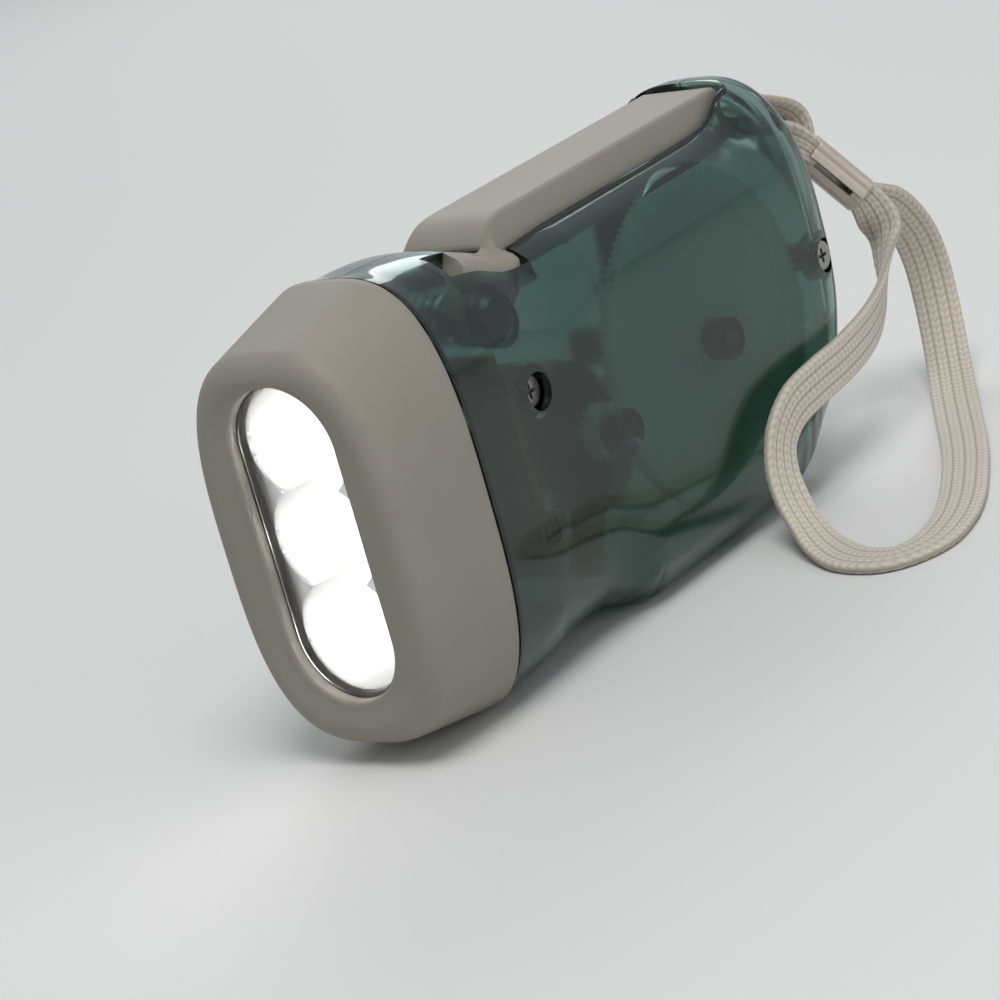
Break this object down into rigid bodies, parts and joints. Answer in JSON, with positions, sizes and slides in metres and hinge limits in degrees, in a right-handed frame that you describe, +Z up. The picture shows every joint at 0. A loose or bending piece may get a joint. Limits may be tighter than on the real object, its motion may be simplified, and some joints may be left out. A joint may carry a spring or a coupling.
{
  "type": "squeeze lever dynamo flashlight",
  "caption": "Hand powered flashlight with a squeeze lever over a gear train in a tinted two-part casing, a slot-shaped lamp window in a grey head and a flat wrist strap at the tail.",
  "frame": {"origin": "middle of the casing's bounding box on the flat strip that the torch stands on, without the strap", "axes": "+Z up, the lamp faces -X, the tail and strap are at +X, and the face with the screw recesses is at -Y"},
  "size_m": [0.133, 0.0606, 0.0572],
  "materials": {
    "tinted_casing": "satin",
    "grey_plastic": "matte",
    "clear_plastic": "gloss",
    "chrome": "mirror",
    "lamp_resin": "gloss",
    "board": "matte",
    "gear_plastic": "satin",
    "steel": "satin",
    "magnet": "matte",
    "iron": "satin",
    "copper": "satin",
    "wire": "satin",
    "strap": "matte"
  },
  "bodies": {
    "casing": {"shell_near": "tinted_casing", "shell_far": "tinted_casing", "head_bezel": "grey_plastic", "lens": "clear_plastic", "reflector": "chrome", "led_1": "lamp_resin", "led_2": "lamp_resin", "led_3": "lamp_resin", "led_board": "board", "lever_spring": "steel", "gear_shaft": "steel", "stator": "iron", "coil_bobbin": "gear_plastic", "coil_winding": "copper", "lead_wire_1": "wire", "lead_wire_2": "wire", "body_screw_1": "steel", "body_screw_2": "steel", "strap_bight": "strap", "strap_ferrule": "steel", "wrist_strap": "strap"},
    "lever": {"lever": "grey_plastic"},
    "ratchet": {"ratchet_pinion": "gear_plastic"},
    "wheel": {"big_gear": "gear_plastic"},
    "pawl_a": {"pawl_1": "steel"},
    "pawl_b": {"pawl_2": "steel"},
    "rotor": {"rotor_shaft": "steel", "rotor_pinion": "gear_plastic", "rotor_magnet": "magnet"}
  },
  "joints": [
    {"name": "lever_hinge", "type": "hinge", "parent": "casing", "child": "lever", "pos_m": [-0.0214, 0, 0.0461], "axis": [0, -1, 0], "range_deg": [0, 26]},
    {"name": "ratchet_spin", "type": "hinge", "parent": "casing", "child": "ratchet", "pos_m": [0.0215, 0, 0.02691], "axis": [0, -1, 0], "range_deg": [-280, 0.5]},
    {"name": "wheel_spin", "type": "hinge", "parent": "casing", "child": "wheel", "pos_m": [0.0215, 0, 0.02691], "axis": [0, -1, 0], "range_deg": [-280, 0.5]},
    {"name": "rotor_spin", "type": "hinge", "parent": "casing", "child": "rotor", "pos_m": [-0.00388, 0, 0.0242], "axis": [0, -1, 0], "range_deg": [-1, 1864]},
    {"name": "pawl_swing_1", "type": "hinge", "parent": "wheel", "child": "pawl_a", "pos_m": [0.0294, -0.0065, 0.02691], "axis": [0, 1, 0], "range_deg": [0, 18], "stiffness_Nm_per_rad": 0.00002, "springref_deg": -20.05},
    {"name": "pawl_swing_2", "type": "hinge", "parent": "wheel", "child": "pawl_b", "pos_m": [0.0136, -0.0065, 0.02691], "axis": [0, 1, 0], "range_deg": [0, 18], "stiffness_Nm_per_rad": 0.00002, "springref_deg": -20.05}
  ],
  "couplings": [
    {"joint": "ratchet_spin", "follows": "lever_hinge", "ratio": -10.75},
    {"joint": "wheel_spin", "follows": "lever_hinge", "ratio": -10.75},
    {"joint": "rotor_spin", "follows": "lever_hinge", "ratio": 71.667}
  ]
}
